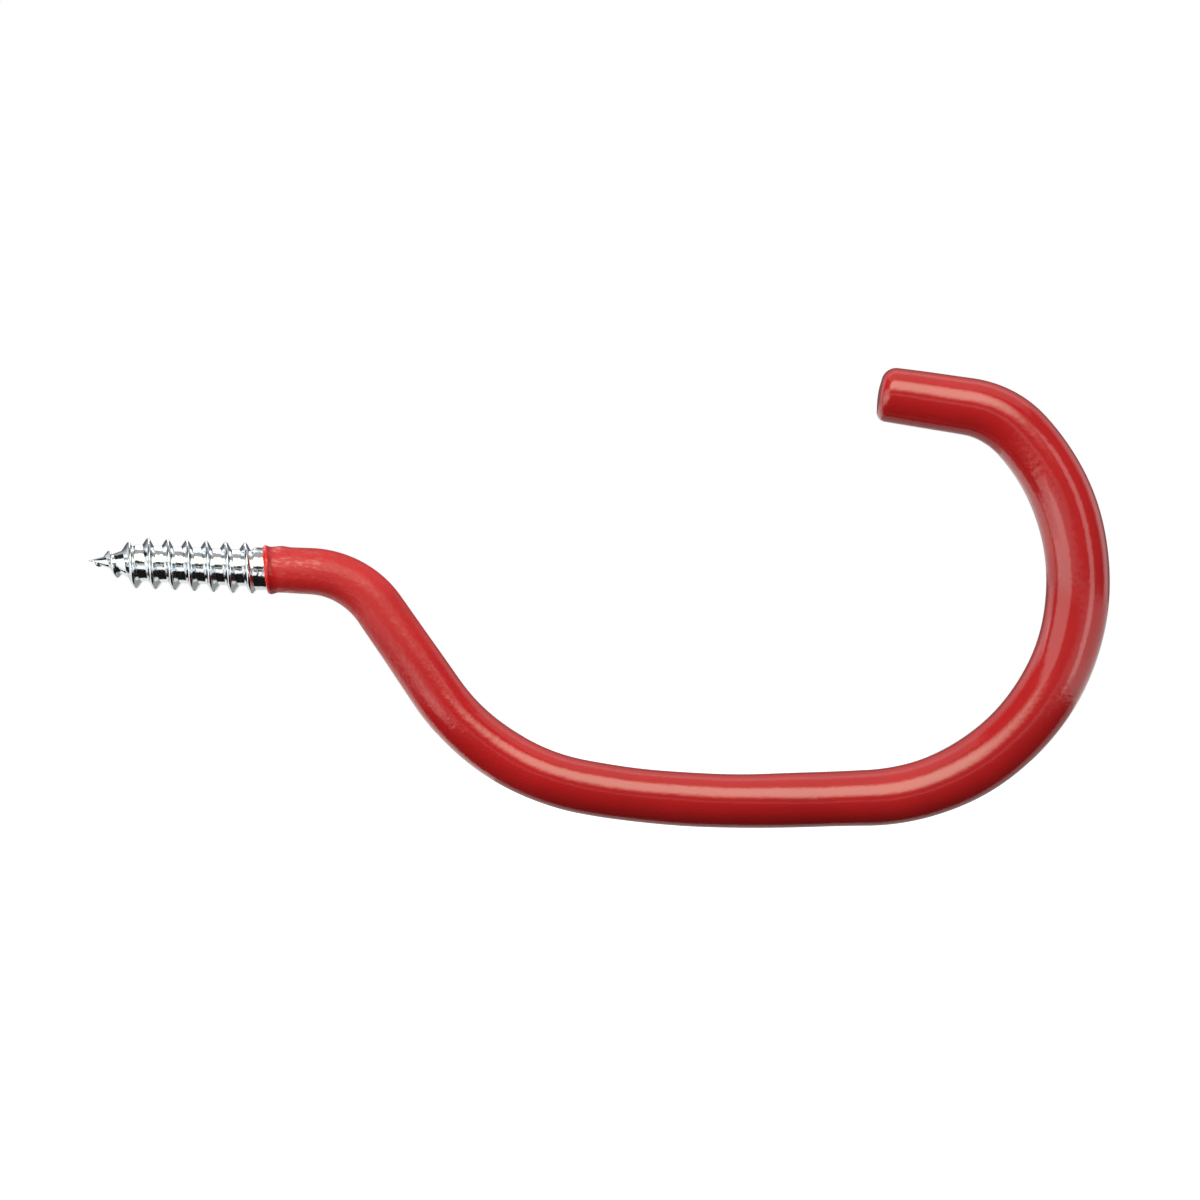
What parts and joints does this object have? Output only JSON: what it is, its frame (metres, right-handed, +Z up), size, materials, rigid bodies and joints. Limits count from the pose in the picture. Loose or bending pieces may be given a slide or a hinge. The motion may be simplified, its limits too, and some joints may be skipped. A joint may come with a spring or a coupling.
{
  "type": "bike hook",
  "caption": "Screw-in bicycle hook: a steel rod with a lag screw end, bent into a wide open hook and dipped in soft red vinyl, that hangs a wheel from a stud or joist.",
  "frame": {"origin": "on the screw's axis, in the plane of the wall that the coating's end comes up to", "axes": "+X out of the wall along the screw's axis, +Z up, with the hook in the XZ plane and open upwards"},
  "size_m": [0.1908, 0.0118, 0.0873],
  "materials": {
    "zinc_plated_steel": "polished",
    "red_vinyl": "satin"
  },
  "bodies": {
    "root": {"steel_rod": "zinc_plated_steel", "vinyl_coating": "red_vinyl"}
  },
  "joints": []
}
